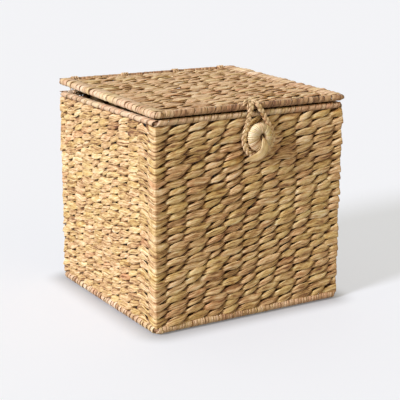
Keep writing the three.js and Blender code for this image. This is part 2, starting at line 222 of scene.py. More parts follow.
def smooth_noise(m, n, k, knots=None):
    """Random values in -1..1 for m rows of n places with k columns, smooth along each row."""
    knots = knots or max(4, n // 4)
    rough = rng.uniform(-1, 1, (m, knots, k))
    at = np.linspace(0, knots - 1.001, n)
    low = at.astype(int)
    share = (at - low)[None, :, None]
    share = share * share * (3 - 2 * share)
    return rough[:, low] * (1 - share) + rough[:, low + 1] * share


def piece(name, parts, material, body, nodes=()):
    """One mesh object from several bundles of strands, riding on a body and standing for CAD nodes."""
    offsets = np.cumsum([0] + [len(p[0]) for p in parts])
    points = np.concatenate([p[0] for p in parts]) * MM
    quads = np.concatenate([p[1] + o for p, o in zip(parts, offsets)])
    mesh = bpy.data.meshes.new(name)
    mesh.from_pydata(points, [], quads)
    for title, column in (("fibre", 2), ("tone", 3)):
        values = np.concatenate([p[column] for p in parts]).astype(np.float32)
        mesh.attributes.new(title, "FLOAT_VECTOR", "POINT").data.foreach_set("vector", values.ravel())
    mesh.polygons.foreach_set("use_smooth", np.ones(len(quads), bool))
    mesh.materials.append(material)
    made = bpy.data.objects.new(name, mesh)
    bpy.context.scene.collection.objects.link(made)
    if body:
        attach(made, body)
    if nodes:
        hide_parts(*nodes)
    return made


# Materials


class Nodes:
    """Short calls for the node tree of a material or a world."""

    def __init__(self, owner):
        self.owner = owner
        owner.use_nodes = True
        self.tree = owner.node_tree
        self.tree.nodes.clear()

    def add(self, kind, values=(), **settings):
        node = self.tree.nodes.new("ShaderNode" + kind)
        for key, value in settings.items():
            setattr(node, key, value)
        for socket, value in dict(values).items():
            target = node.inputs[socket]
            if isinstance(value, bpy.types.NodeSocket):
                self.tree.links.new(value, target)
            else:
                target.default_value = value
        return node

    def math(self, operation, a, b=0.0, clamp=False):
        return self.add("Math", {0: a, 1: b}, operation=operation, use_clamp=clamp).outputs[0]

    def varied(self, start, pattern, amount, clamp=False):
        """A value moved up and down by a pattern around 0.5."""
        swing = self.math("MULTIPLY", self.math("SUBTRACT", pattern, 0.5), amount)
        return self.math("ADD", start, swing, clamp)

    def ramp(self, factor, stops):
        node = self.add("ValToRGB", {0: factor})
        elements = node.color_ramp.elements
        while len(elements) < len(stops):
            elements.new(0.5)
        for element, (place, colour) in zip(elements, stops):
            element.position = place
            element.color = (*colour, 1)
        return node.outputs[0]

    def seen(self):
        """1 for rays that reach the camera straight or by way of a gloss or a glass, 0 for all others."""
        ray = self.add("LightPath").outputs
        other = self.math("MAXIMUM", ray["Is Glossy Ray"], ray["Is Transmission Ray"])
        return self.math("MAXIMUM", ray["Is Camera Ray"], other)

    def finish(self, shader, kind="OutputMaterial"):
        self.add(kind, {0: shader})
        return self.owner


def linear(r, g, b):
    """Screen colour in 0..255 as the renderer's linear colour."""
    return tuple(((c / 255 + 0.055) / 1.055) ** 2.4 if c > 10 else c / 3295 for c in (r, g, b))


def leaf_material(name, shades, streak, blotch=0.6, patch=1.1, relief=0.65):
    """Dried leaf: fibres along each strand, painted shade for fine creases, blotches and patches of another
    hue, and painted shade where the tone says that it lies away from the light."""
    n = Nodes(bpy.data.materials.new(name))
    fibre = n.add("Attribute", attribute_name="fibre").outputs["Vector"]
    tone = n.add("SeparateXYZ", {0: n.add("Attribute", attribute_name="tone").outputs["Vector"]}).outputs

    def grain(scale, detail):
        place = n.add("VectorMath", {0: fibre, 1: scale}, operation="MULTIPLY").outputs[0]
        values = {"Vector": place, "Scale": 1.0, "Detail": detail, "Roughness": 0.55}
        return n.add("TexNoise", values).outputs["Fac"]

    lines = grain((0.03, 2.6, 7.0), 4.0)
    fine = grain((0.08, 9.0, 11.0), 2.0)
    spots = grain((0.10, 1.1, 5.0), 3.0)
    patches = grain((0.06, 0.8, 9.0), 2.0)
    fibres = n.math("ADD", n.math("MULTIPLY", lines, 0.7), n.math("MULTIPLY", fine, 0.3))
    shade = n.varied(tone[0], fibres, streak * 2)
    shade = n.varied(shade, spots, blotch * 2, True)
    hue = n.varied(tone[1], patches, patch, True)
    # Painted shade for fine creases along the fibres: thin dark lines where the fibre noise is low
    painted_crease_shade = n.ramp(lines, [(0.33, (0.58, 0.44, 0.31)), (0.43, (1, 1, 1))])
    # Painted shade: the colour is multiplied down to dark brown where the tone's third value, its painted
    # light, is low
    depth = n.ramp(tone[2], [(0.1, (0.10, 0.06, 0.03)), (0.45, (0.45, 0.34, 0.24)), (0.75, (1, 1, 1))])
    colour = n.ramp(shade, shades)
    for layer in (painted_crease_shade, n.ramp(hue, LEAF_HUES), depth):
        mixed = n.add("Mix", {0: 1.0, 6: colour, 7: layer}, data_type="RGBA", blend_type="MULTIPLY")
        colour = mixed.outputs[2]
    height = n.math("ADD", n.math("MULTIPLY", fibres, 0.7), n.math("MULTIPLY", spots, 0.3))
    bump = n.add("Bump", {"Strength": relief, "Distance": 0.0015, "Height": height}).outputs[0]
    gloss = n.math("ADD", n.math("MULTIPLY", fibres, -0.25), 0.72)
    values = {"Base Color": colour, "Roughness": gloss, "Normal": bump}
    return n.finish(n.add("BsdfPrincipled", values).outputs[0])


def even_stops(*colours):
    """Evenly spaced stops for a ramp, from screen colours."""
    return [(i / (len(colours) - 1), linear(*colour)) for i, colour in enumerate(colours)]


LEAF_SHADES = even_stops((116, 76, 44), (180, 140, 92), (216, 182, 134), (236, 210, 166), (252, 238, 210))
PALE_SHADES = even_stops((118, 82, 56), (180, 143, 106), (214, 184, 150), (234, 211, 180), (250, 238, 218))
LID_SHADES = even_stops((116, 79, 49), (180, 141, 98), (214, 183, 141), (234, 210, 172), (250, 238, 214))
LEAF_HUES = [
    (0.0, linear(250, 220, 206)),
    (0.2, linear(254, 238, 226)),
    (0.45, linear(255, 250, 242)),
    (0.7, linear(252, 249, 222)),
    (0.88, linear(244, 240, 204)),
    (1.0, linear(238, 220, 170)),
]

wall_leaf = leaf_material("wall_leaf", LEAF_SHADES, 1.35)
rail_leaf = leaf_material("rail_leaf", PALE_SHADES, 0.7, blotch=0.3)
lid_leaf = leaf_material("lid_leaf", LID_SHADES, 0.85, blotch=0.4, patch=0.7, relief=0.45)
cord_leaf = leaf_material("cord_leaf", LID_SHADES, 0.7, blotch=0.25)


def wire_material():
    n = Nodes(bpy.data.materials.new("wire"))
    place = n.add("TexCoord").outputs["Object"]
    grain = n.add("TexNoise", {"Vector": place, "Scale": 900.0, "Detail": 3.0}).outputs["Fac"]
    colour = n.ramp(grain, [(0.3, (0.022, 0.020, 0.018)), (0.7, (0.05, 0.045, 0.04))])
    bump = n.add("Bump", {"Strength": 0.2, "Distance": 0.0002, "Height": grain}).outputs[0]
    gloss = n.math("ADD", n.math("MULTIPLY", grain, 0.2), 0.35)
    values = {"Base Color": colour, "Roughness": gloss, "Normal": bump, "Metallic": 0.4}
    return n.finish(n.add("BsdfPrincipled", values).outputs[0])


wire_finish = wire_material()
for name in ("box_cage", "lid_cage"):
    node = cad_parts[name]
    node.data.materials.clear()
    node.data.materials.append(wire_finish)


# Twined weave: rows of two strands that pass the stakes in turn, one outside and one inside

# Rings along a bay, closest near its middle, and the share of the bay in which the strands change places
BAY_STEPS = np.array([-1, -0.6, -0.42, -0.27, -0.12, 0, 0.12, 0.27, 0.42, 0.6]) / 2 + 0.5
CHANGE = 0.85

# How far a stitch rolls about its own line, beside a stake and where the strands cross
STAKE_ROLL = 0.10
CROSS_ROLL = 0.30

# How far inside the middle surface the inner strands lie at least, so that they cover the wires
WIRE_COVER = 1.8

# How much wider a strand on the walls is than its row is tall, and the width of those in a flat panel
WALL_OVERLAP = 2.0
PANEL_STRAND = 12.9

# How far from a rail the rows wander in full
CALM_EDGE = 40

# A corner's fold: its half length and radius, how much wider it is for each mm of depth inside, how far
# beside it the strands are shifted to fit, more rings for it in shares of a bay, and the painted light on
# its edges, where the painted edge shade is lifted
FOLD = 2.8
FOLD_RADIUS = 1.5
FOLD_EASE = 0.65
FOLD_SHIFT = 34
FOLD_STEPS = np.array([-0.105, -0.088, -0.055, -0.02, 0.02, 0.055, 0.088, 0.105])
PAINTED_FOLD_LIGHT = 0.95

# The last bay before the front's left corner, where the stitches lean the other way
LAST_BAY = 4 * BAYS - 1

# Each panel's relief: how far out the weave lies, how far its strands stand out from there, their
# thickness, how far they rise where they cross and the share by which they are narrower there, the
# depth over which painted shade fades to full painted light, the painted light on their edges, and how far
# they lean along the row
RELIEF = {
    "front": (0.2, 3.4, 2.6, 3.7, 0.40, 4.9, 0.34, 0.95),
    "right": (0.8, 2.8, 3.2, 3.3, 0.34, 3.7, 0.55, 0.85),
    "back": (0.6, 2.8, 3.2, 3.3, 0.34, 3.7, 0.55, 0.85),
    "left": (1.9, 1.6, 2.5, 3.0, 0.22, 1.9, 0.9, 0.95),
    "lid": (0.9, 1.0, 2.2, 3.1, 0.22, 1.5, 0.92, 0.9),
    "base": (0.0, 2.4, 3.0, 3.3, 0.36, 3.5, 0.7, 0.85),
}


def stitch_values(rows, stakes, cyclic):
    """Random width, rise, drop, set, tilt and colour for each stitch of each strand, and where in the bay
    after it the strands cross: (rows, 2, stakes)."""
    shape = (rows, 2, stakes)
    leaf_tone = np.zeros(shape)
    leaf_hue = np.zeros(shape)
    for r in range(rows):
        for s in range(2):
            at = 0
            while at < stakes:
                run = int(rng.integers(3, 9))
                leaf_tone[r, s, at : at + run] = rng.normal(0.475, 0.06)
                leaf_hue[r, s, at : at + run] = rng.normal(0.57, 0.12)
                at += run
    values = {
        "width": rng.normal(1.0, 0.07, shape),
        "rise": rng.normal(1.0, 0.10, shape),
        "drop": rng.normal(0.0, 0.45, shape),
        "set": rng.normal(0.0, 0.5, shape),
        "tilt": rng.normal(0.0, 0.12, shape),
        "shade": leaf_tone + rng.normal(0, 0.055, shape),
        "hue": np.clip(leaf_hue + rng.normal(0, 0.06, shape), 0, 1),
    }
    values["cross"] = np.repeat(np.clip(rng.normal(0.0, 0.13, (rows, 1, stakes)), -0.27, 0.27), 2, axis=1)
    if cyclic:
        values = {key: np.concatenate([v, v[..., :1]], axis=2) for key, v in values.items()}
    return values


def leaning(stake):
    """How far the stitches on the walls lean forward: not at all at the corners, and backward in the last
    bay."""
    around = stake % (4 * BAYS)
    away = np.minimum(around % BAYS, BAYS - around % BAYS)
    forward = np.clip((away - 0.08) / 0.3, 0, 1)
    last = np.clip((around - (LAST_BAY - 0.45)) / 0.5, 0, 1)
    return forward * (1 - 2 * last)


def twined(place, values, starts, wide, relief, walls=False):
    """Strands of the twined rows of one panel, the first strand of each row from stake starts[0] and the
    second from starts[1]. The two strands of a row change places between stakes, in a stretch near the
    middle of the bay where both are narrow, one above the other. place(stake, depth) gives points at that
    depth in front of the middle surface, the points below them on that surface, the way out and the way
    up the rows. On the walls the stakes are counted round the box, and the strands fold at its corners."""
    offset, reach, thick, rise, pinch, painted_shade_depth, edge, slope = relief
    inner_reach = max(reach, offset + WIRE_COVER)
    stakes = values["width"].shape[2]
    made = []
    for strand, start in enumerate(starts):
        stake = np.append((start + np.arange(BAYS)[:, None] + BAY_STEPS).ravel(), start + BAYS)
        if walls and strand == 0:
            stake = np.sort(np.concatenate([stake, starts[1] + FOLD_STEPS]))
        low = np.floor(stake + 1e-6).astype(int)
        share = np.clip(stake - low, 0, 1)
        if walls:
            this, after = low % (stakes - 1), (low + 1) % (stakes - 1)
        else:
            this, after = low, np.minimum(low + 1, stakes - 1)
        nearest = np.where(share > 0.5, after, this)

        def between(key):
            return values[key][:, strand, this] * (1 - share) + values[key][:, strand, after] * share

        crossing = 0.5 + values["cross"][:, strand, this]
        t = 2 * share ** (math.log(0.5) / np.log(crossing)) - 1
        turn = np.sin(math.pi / 2 * np.clip(t / CHANGE, -1, 1))
        sign = np.where((low + strand) % 2 == 0, 1.0, -1.0)
        angle = math.pi / 2 * (turn + 1)
        facing = sign * np.cos(angle)
        swing = sign * np.sin(angle)
        if walls:
            swing = np.where((stake % (stakes - 1) > LAST_BAY) | (stake < 0), -swing, swing)
        roll = (STAKE_ROLL + between("tilt")) * facing + CROSS_ROLL * swing * np.where(facing > 0, 1, 0)
        depth = offset + np.where(facing > 0, reach, inner_reach) * facing + between("set") * np.abs(facing)
        lift = rise * swing * between("rise") + between("drop")
        centre, middle, out, upward = place(stake, depth)
        slant = slope * (leaning(stake) if walls else np.ones_like(stake))
        leant = upward + slant[:, None] * np.cross(upward, out)
        centre = centre + lift[..., None] * upward
        centre = centre + lift[..., None] * (leant - upward)
        across = np.cos(roll)[..., None] * leant - np.sin(roll)[..., None] * out
        outward = np.cos(roll)[..., None] * out + np.sin(roll)[..., None] * upward
        width = wide * between("width") * (1 - pinch * swing**2)
        shade, hue = (values[key][:, strand, nearest] for key in ("shade", "hue"))
        tone = np.stack([shade, hue, np.ones_like(hue)], axis=-1)
        # The middle surface and the depth for the painted shade of hidden places
        surface = (middle + offset * out, out, painted_shade_depth)
        # Painted shade on the strands' edges, lifted near a corner's fold
        light = edge
        if walls:
            beside = np.minimum(np.abs(stake - starts[1]), np.abs(stake - starts[1] - BAYS))
            light = edge + (PAINTED_FOLD_LIGHT - edge) * np.exp(-((beside / (0.5 * edge)) ** 4))
        made.append(strands(centre, across, outward, width, thick, tone, FLAT, 0.25, surface, light))
    return made


def turned(vectors, quarter):
    """Vectors turned about Z by quarter turns."""
    c, s = [(1, 0), (0, 1), (-1, 0), (0, -1)][quarter % 4]
    x, y = vectors[..., 0].copy(), vectors[..., 1].copy()
    made = vectors.copy()
    made[..., 0] = c * x - s * y
    made[..., 1] = s * x + c * y
    return made


def side_sizes(x, y, quarter):
    """Half the length of a side of the box, and how far it lies from the middle."""
    return (x, y) if quarter % 2 == 0 else (y, x)


def side_path(x, half, reach, depth):
    """Points on the front side of a square with tight corners, which ends half way round them, at the
    depths in front of the middle surface, and the way out there."""
    angle = np.sign(x) * math.pi / 4 * np.clip(np.abs(x) - (half - FOLD), 0, None) / FOLD
    radius = FOLD_RADIUS + FOLD_EASE * np.clip(-depth, 0, None)
    near = np.clip((np.abs(x) - (half - FOLD_SHIFT)) / (FOLD_SHIFT - FOLD), 0, 1)
    shift = np.sign(x) * (depth + FOLD - radius) * near * near * (3 - 2 * near)
    straight = np.clip(x, FOLD - half, half - FOLD) + shift
    points = np.zeros((*depth.shape, 3))
    points[..., 0] = straight + radius * np.sin(angle)
    points[..., 1] = -(reach + depth - radius) - radius * np.cos(angle)
    out = np.stack([np.sin(angle), -np.cos(angle), np.zeros_like(angle)], axis=-1)
    return points, out


def wall_path(stake, depth):
    """Points and ways out on the four walls, at stakes counted round the box and depths (rows, stakes)."""
    points = np.zeros((*depth.shape, 3))
    out = np.zeros((len(stake), 3))
    around = stake % (4 * BAYS)
    for i in range(4):
        half, reach = side_sizes(WALL_X, WALL_Y, i)
        mine = (around >= i * BAYS) & (around < (i + 1) * BAYS)
        x = -half + (around[mine] - i * BAYS) * 2 * half / BAYS
        here, way = side_path(x, half, reach, depth[:, mine])
        points[:, mine] = turned(here, i)
        out[mine] = turned(way, i)
    return points, out


def corner_bundle(quarter):
    """The leaf bound round a corner post, behind the weave."""
    heights = np.linspace(WALL_BOTTOM, WALL_TOP, 12)
    half, reach = side_sizes(WALL_X, WALL_Y, quarter)
    inset = 2.6
    size = 6.4
    centre = np.stack([0 * heights + inset - half, 0 * heights + inset - reach, heights], axis=-1)
    along = np.broadcast_to([1.0, 0.0, 0.0], centre.shape)
    out = np.broadcast_to(FRONT, centre.shape)
    # Shade, hue and painted light 0.35: painted shade, as the bundle lies behind the weave
    tone = np.broadcast_to(np.array([0.35, 0.45, 0.35]), centre.shape)
    centre, along, out = (turned(v, quarter)[None] for v in (centre, along, out))
    return strands(centre, along, out, size, size, tone[None], PLUMP, 0.3)


def wall_weaves():
    """The four walls, whose rows are unevenly tall and wander up and down, but not beside the rails."""
    rows = round((WALL_TOP - WALL_BOTTOM) / PITCH)
    pitch = (WALL_TOP - WALL_BOTTOM) / rows
    uneven = rng.uniform(0.88, 1.12, rows)
    tall = (uneven * rows * pitch / uneven.sum())[:, None]
    heights = WALL_BOTTOM + np.cumsum(tall, axis=0) - tall / 2
    values = stitch_values(rows, 4 * BAYS, True)
    calm = np.clip(np.minimum(heights - WALL_BOTTOM, WALL_TOP - heights) / CALM_EDGE, 0, 1)

    def place(stake, depth):
        around = stake[None] * 2 * math.pi / (4 * BAYS)
        wave = np.sin(5 * around + heights / 60) + np.sin(9 * around - heights / 38)
        rise = (heights + 1.2 * calm * wave)[..., None] * UP
        points, out = wall_path(stake, depth)
        middle, _ = wall_path(stake, np.zeros_like(depth))
        out, upward = (np.broadcast_to(way, points.shape) for way in (out, UP))
        return points + rise, middle + rise, out, upward

    # The strands cross early in the last bay, and near the middle of the first
    values["cross"][:, :, LAST_BAY] = rng.normal(-0.20, 0.04, (rows, 1))
    values["cross"][:, :, 0] = rng.normal(0.02, 0.07, (rows, 1))
    values["cross"][:, :, 4 * BAYS] = values["cross"][:, :, 0]
    for i, side in enumerate(SIDES):
        starts = (i * BAYS - 1, i * BAYS)
        made = twined(place, values, starts, tall + WALL_OVERLAP, RELIEF[side], True)
        made.append(corner_bundle(i))
        if side == "back":
            for part in made:
                squeeze_round_ties(part[0])
        piece(f"{side}_wall", made, wall_leaf, "box", [f"{side}_weave"])


def tie_nearness(x):
    """1 beside a lashing, falling to 0 a little way off."""
    fall = 9
    away = np.min(np.abs(x[:, None] - np.array(TIE_PLACES)[None, :]), axis=1)
    share = np.clip((TIE_HALF + fall - away) / fall, 0, 1)
    return share * share * (3 - 2 * share)


def squeeze_round_ties(points):
    """The top row of the back wall is pressed down where the lashings pass over it."""
    floor = 293.0
    near = tie_nearness(points[:, 0]) * (points[:, 2] > floor)
    points[:, 2] -= (points[:, 2] - floor) * near * 0.40


wall_weaves()


def to_lid(points):
    """Points in the lid's own plane, middle at the origin, put where the closed lid lies."""
    c, s = math.cos(SEEN_TILT), math.sin(SEEN_TILT)
    y = points[..., 1] - LID_Y
    z = points[..., 2].copy()
    made = points.copy()
    made[..., 1] = LID_Y + c * y - s * z
    made[..., 2] = SEEN_BACK_Z + s * y + c * z
    return made


def panel_rows(reach_y):
    """The places and the pitch of the rows in a flat panel."""
    rows = round(2 * reach_y / PITCH)
    pitch = 2 * reach_y / rows
    return -reach_y + pitch * (np.arange(rows) + 0.5), pitch


def flat_weave(half_x, reach_y, z, relief):
    """Twined rows along X in a flat panel, whose strands end inside the side rails and are flatter there."""
    places = panel_rows(reach_y)[0][:, None]
    rows = len(places)
    values = stitch_values(rows, BAYS + 1, False)
    values["hue"] = np.clip(values["hue"] - 0.12, 0, 1)
    end = 2.0
    flatter = 13

    def place(stake, depth):
        x = -half_x + end + stake[None] * 2 * (half_x - end) / BAYS
        wave = np.sin(x / 37 + places / 55) * np.clip((reach_y - np.abs(places)) / CALM_EDGE, 0, 1)
        middle = np.zeros((rows, len(stake), 3))
        middle[..., 0] = x
        middle[..., 1] = places + 0.8 * wave
        middle[..., 2] = z
        flat = depth * (1 - 0.5 * np.clip(1 - (half_x - np.abs(x)) / flatter, 0, 1))
        out, upward = (np.broadcast_to(way, middle.shape) for way in (UP, BACK))
        return middle + flat[..., None] * UP, middle, out, upward

    return twined(place, values, (0, 0), PANEL_STRAND, relief)


LID_REACH = LID_Y - LID_RAIL - CLEARANCE
PRESSED_Y = 136.5


def lid_weave():
    """The lid's panel. Its last rows are pressed inward by the lashings, and outward by the loop's ends."""
    made = flat_weave(LID_X, LID_REACH, 0.0, RELIEF["lid"])
    for points, *_ in made:
        near = tie_nearness(points[:, 0]) * (points[:, 1] > PRESSED_Y)
        points[:, 1] -= (points[:, 1] - PRESSED_Y) * near * 0.46
        beside = np.clip((17 - np.abs(points[:, 0] - ANCHOR_X)) / 8, 0, 1) * (points[:, 1] < -PRESSED_Y)
        points[:, 1] -= (points[:, 1] + PRESSED_Y) * beside * 0.40
        points[:] = to_lid(points)
    piece("lid_panel", made, lid_leaf, "lid", ["lid_weave"])


def base_weave():
    made = flat_weave(WALL_X, WALL_Y - BASE_RAIL - CLEARANCE, BASE_RAIL + 1.7, RELIEF["base"])
    piece("base_panel", made, wall_leaf, "box", ["base_weave"])


lid_weave()
base_weave()


# Rails: leaf wound round a core

# Each rail's half width, its height above and below its middle, the middle's place and the corner's radius
RAIL_SIZES = {
    "base": (7.4, 6.2, 6.2, 7.1, 3.0),
    "rim": (5.6, 3.8, 5.4, RIM_RAIL_Z, 5.0),
    "lid": (5.0, 4.9, 4.5, 0.0, 5.5),
}

# How often each strip goes round its rail, and in how many rings for each time
STRIP_TURN = 1.08
TURN_RINGS = 14


class Rail:
    """The centreline of one side of a rail, from the middle of one corner to the next, and its place."""

    def __init__(self, side, part):
        self.quarter = SIDES.index(side)
        self.lid = part == "lid"
        widths = (LID_X, LID_Y) if self.lid else (WALL_X, WALL_Y)
        self.half, self.reach = side_sizes(*widths, self.quarter)
        self.radius, self.tall, self.deep, self.z, self.corner = RAIL_SIZES[part]
        self.straight = self.half - self.corner
        self.length = 2 * self.straight + self.corner * math.pi / 2

    def at(self, s):
        """Centre, way out and way along at the distance s from the first corner's middle."""
        x = s - self.length / 2
        angle = np.sign(x) * np.clip(np.abs(x) - self.straight, 0, None) / self.corner
        zero = np.zeros_like(angle)
        out = np.stack([np.sin(angle), -np.cos(angle), zero], axis=-1)
        along = np.stack([np.cos(angle), np.sin(angle), zero], axis=-1)
        middle = [np.clip(x, -self.straight, self.straight), zero + self.corner - self.reach, zero + self.z]
        return np.stack(middle, axis=-1) + self.corner * out, out, along

    def put(self, part):
        """Turns a bundle of strands from the front to this rail's side, and lays the lid's on the lid."""
        points = turned(part[0], self.quarter)
        part[0][:] = to_lid(points) if self.lid else points
        return part


def run_values(count, low, high, middle, spread):
    """A value for each of count places that stays the same for runs of low to high places."""
    values = np.zeros(count)
    at = 0
    while at < count:
        run = int(rng.integers(low, high + 1))
        values[at : at + run] = rng.normal(middle, spread)
        at += run
    return values


def wound(rail, places, steps, cover, shade, hue, spread, thick, edge):
    """Strips wound round the rail, one for each place, each as wide as its step times cover and leaning by
    its step along the rail. They start and end on the rail's inner side, and are wider on the outside of
    a corner."""
    m = len(places)
    n = int(STRIP_TURN * TURN_RINGS) + 1
    share = np.linspace(-0.5, 0.5, n)[None]
    angle = 2 * math.pi * STRIP_TURN * share + np.zeros((m, 1))
    width = steps * cover
    s = places[:, None] + share * STRIP_TURN * steps[:, None]
    centre, out, along = rail.at(s.ravel())
    centre, out, along = (v.reshape(m, n, 3) for v in (centre, out, along))
    sideways = np.cos(angle) * rail.radius
    upwards = np.sin(angle) * np.where(angle > 0, rail.tall, rail.deep)
    inset = 1 - thick / 2 / rail.radius + 0.03 * smooth_noise(m, n, 1, 5)[..., 0]
    spot = sideways[..., None] * out + upwards[..., None] * UP
    centre = centre + spot * inset[..., None]
    radial = unit((sideways / rail.radius**2)[..., None] * out + (upwards / rail.tall**2)[..., None] * UP)
    tip = np.arctan(0.6 * thick / width)[:, None, None]
    slant, outward = rolled(along, radial, tip)
    bend = np.abs(s - rail.length / 2) > rail.straight
    fan = np.where(bend, np.clip(1 + sideways / rail.corner, 0.5, 2.6), 1.0)
    breadth = width[:, None] * fan * (1 + 0.08 * smooth_noise(m, n, 1, 4)[..., 0])
    shades = rng.normal(0, spread, m) + run_values(m, 3, 8, shade, spread)
    hues = np.clip(rng.normal(0, 0.06, m) + run_values(m, 3, 8, hue, 0.10), 0, 1)
    # Full painted light on the strips, and painted shade along their edges
    tone = np.stack([shades[:, None] + 0 * s, hues[:, None] + 0 * s, np.ones((m, n))], axis=-1)
    return rail.put(strands(centre, slant, outward, breadth, thick, tone, STRIP, 0.1, edge=edge))


def core(rail):
    s = np.linspace(0, rail.length, 34)
    centre, out, _ = rail.at(s)
    centre = centre + (rail.tall - rail.deep) / 2 * UP
    # Shade, hue and painted light 0.5: painted shade where the core shows between the strips
    dark = np.broadcast_to(np.array([0.4, 0.4, 0.5]), (1, len(s), 3))
    up = np.broadcast_to(UP, out.shape)
    size = (rail.tall + rail.deep - CORE_INSET, 2 * rail.radius - CORE_INSET)
    return rail.put(strands(centre[None], up[None], out[None], *size, dark, PLUMP))


def coil(rail, pitch, cover, shade, hue, uneven, thick, spread, start=0.0, end=None, edge=PAINTED_EDGE_LIGHT):
    """A stretch of rail wound with strips of uneven width, each beginning where the last ends."""
    end = rail.length if end is None else end
    steps = pitch * (1 + uneven * rng.uniform(-1, 1, int((end - start) / pitch * 1.6) + 3))
    ends = start + np.cumsum(steps)
    steps = steps[ends < end + pitch * 0.5]
    steps = steps * (end - start) / steps.sum()
    places = start + np.cumsum(steps) - steps / 2
    return wound(rail, places, steps, cover, shade, hue, spread, thick, edge)


def row_ends(rail):
    """The ends of the lid's rows, each carried over the side rail and back under it."""
    places, pitch = panel_rows(LID_REACH)
    rows = len(places)
    places = places + rng.normal(0, 1.1, rows)
    arc = np.radians(np.linspace(78, -78, 13))
    round_rail = 3.7 + 0.5 * np.sin(arc)
    inside = [-19.0, -14.0, -9.0, -4.5]
    inward = np.concatenate([inside, round_rail * np.cos(arc), inside[::-1]])
    rise = np.concatenate([[1.6, 3.1, 4.1, 4.5], round_rail * np.sin(arc), [-3.5, -3.3, -2.6, -1.4]])
    smooth, _ = resampled(np.column_stack([inward, rise, 0 * inward]), 26)
    n = len(smooth)
    share = np.linspace(0, 1, n)
    lean = rng.normal(4.0, 1.8, rows)[:, None] * (share**1.5)[None]
    if rail.quarter == 1:
        places, lean = places[::-1], -lean
    centre = np.zeros((rows, n, 3))
    centre[..., 0] = places[:, None] + lean
    proud = rng.normal(0, 0.45, (rows, 1)) * np.sin(math.pi * share)[None]
    centre[..., 1] = -rail.reach - smooth[:, 0] - proud
    centre[..., 2] = smooth[:, 1] + proud * (smooth[:, 1] > 0)
    hub = np.stack([centre[..., 0], np.full_like(lean, 4.0 - rail.reach), 0 * lean], axis=-1)
    across, out = ways(centre, centre - hub)
    swell = np.interp(share, [0, 0.2, 0.5, 0.8, 1], [0.75, 1.0, 1.06, 1.0, 0.75])
    width = pitch * 0.95 * swell[None] * rng.normal(1, 0.11, (rows, 1))
    shade = run_values(rows, 1, 2, 0.55, 0.10)[:, None] + 0 * lean
    hue = np.clip(run_values(rows, 1, 2, 0.48, 0.14), 0, 1)[:, None] + 0 * lean
    # Painted shade towards both ends, where each row goes in under the rail, and dark painted edges
    painted_light = np.clip(0.5 + 3 * np.minimum(share, 1 - share), 0, 1)[None] + 0 * lean
    tone = np.stack([shade, hue, painted_light], axis=-1)
    return rail.put(strands(centre, across, out, width, 3.8, tone, PLUMP, 0.25, edge=0.3))


def rails():
    """All twelve rails. Those beside the ends of the lid's rows are wound only near their corners."""
    # edge sets the painted shade on the strips' edges in each coil below
    for side in SIDES:
        along_rows = side in ("front", "back")
        rail = Rail(side, "base")
        bundles = [core(rail)]
        if along_rows:
            bundles.append(coil(rail, 5.5, 1.10, 0.46, 0.45, 0.4, 1.2, 0.06, edge=0.7))
        else:
            bundles.append(coil(rail, 9.5, 0.98, 0.58, 0.5, 0.5, 2.9, 0.12))
        piece(f"{side}_base_rail", bundles, rail_leaf, "box", [f"{side}_base_binding"])

        rail = Rail(side, "rim")
        pitch = 12.0 if along_rows else 19.0
        bundles = [core(rail), coil(rail, pitch, 1.10, 0.58, 0.45, 0.35, 0.7, 0.05, edge=0.9)]
        piece(f"{side}_rim_rail", bundles, rail_leaf, "box", [f"{side}_rim_binding"])

        rail = Rail(side, "lid")
        bundles = [core(rail)]
        if along_rows:
            bundles.append(coil(rail, 6.0, 1.12, 0.5, 0.42, 0.25, 1.2, 0.05, end=26))
            bundles.append(coil(rail, 11.0, 1.10, 0.20, 0.44, 0.35, 0.8, 0.04, start=26, edge=0.8))
        else:
            bundles.append(row_ends(rail))
            for start, end in ((0.0, 15), (rail.length - 15, rail.length)):
                bundles.append(coil(rail, 6.0, 1.08, 0.62, 0.4, 0.2, 1.6, 0.05, start, end))
        piece(f"{side}_lid_rail", bundles, rail_leaf, "lid", [f"{side}_lid_binding"])


rails()


# Twisted cords


def cord_bundle(route, size, thick, shade, hue, period=9.0, hint=(1.0, 0.0, 0.0)):
    """A cord of two twisted plies along a route of points. hint is any way that the route never takes."""
    n = len(route)
    steps = np.concatenate([[0], np.cumsum(np.linalg.norm(np.diff(route, axis=0), axis=1))])
    along = unit(np.gradient(route, axis=0))
    first = unit(np.cross(along, np.broadcast_to(hint, along.shape)))
    second = np.cross(along, first)
    bundles = []
    for ply in range(2):
        t = 2 * math.pi * (steps / period + ply / 2)
        away = np.cos(t)[:, None] * first + np.sin(t)[:, None] * second
        centre = route + away * size / 4
        across, out = ways(centre, away)
        # Painted light 0.9, with the default painted shade on the plies' edges
        tone = np.stack([np.full(n, shade + 0.05 * ply), np.full(n, hue), np.full(n, 0.9)], axis=-1)
        tone[:, 0] += 0.08 * smooth_noise(1, n, 1, max(4, n // 8))[0, :, 0]
        width = size * 0.72
        bundles.append(strands(centre[None], across[None], out[None], width, thick, tone[None], STRIP, 0.08))
    return bundles


# Plaited loop: its route over the lid's front rail and round the button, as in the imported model

LOOP_REACH = 25.4
LOOP_MIDDLE = BUTTON[[0, 2]] + np.array([0.4, -0.5])
STRAND_OFFSET = 4.15
RAIL_REACH = 7.8
LID_FRONT_Y = LID_Y - 2 * LID_Y * math.cos(LID_TILT)
PIVOT_Z = LID_FRONT_Z + RAIL_REACH * math.sin(math.pi / 4)


def hang_y(z):
    above = np.clip(z - LID_FRONT_Z, 0, RAIL_REACH)
    return LID_FRONT_Y - np.sqrt(RAIL_REACH**2 - above**2)


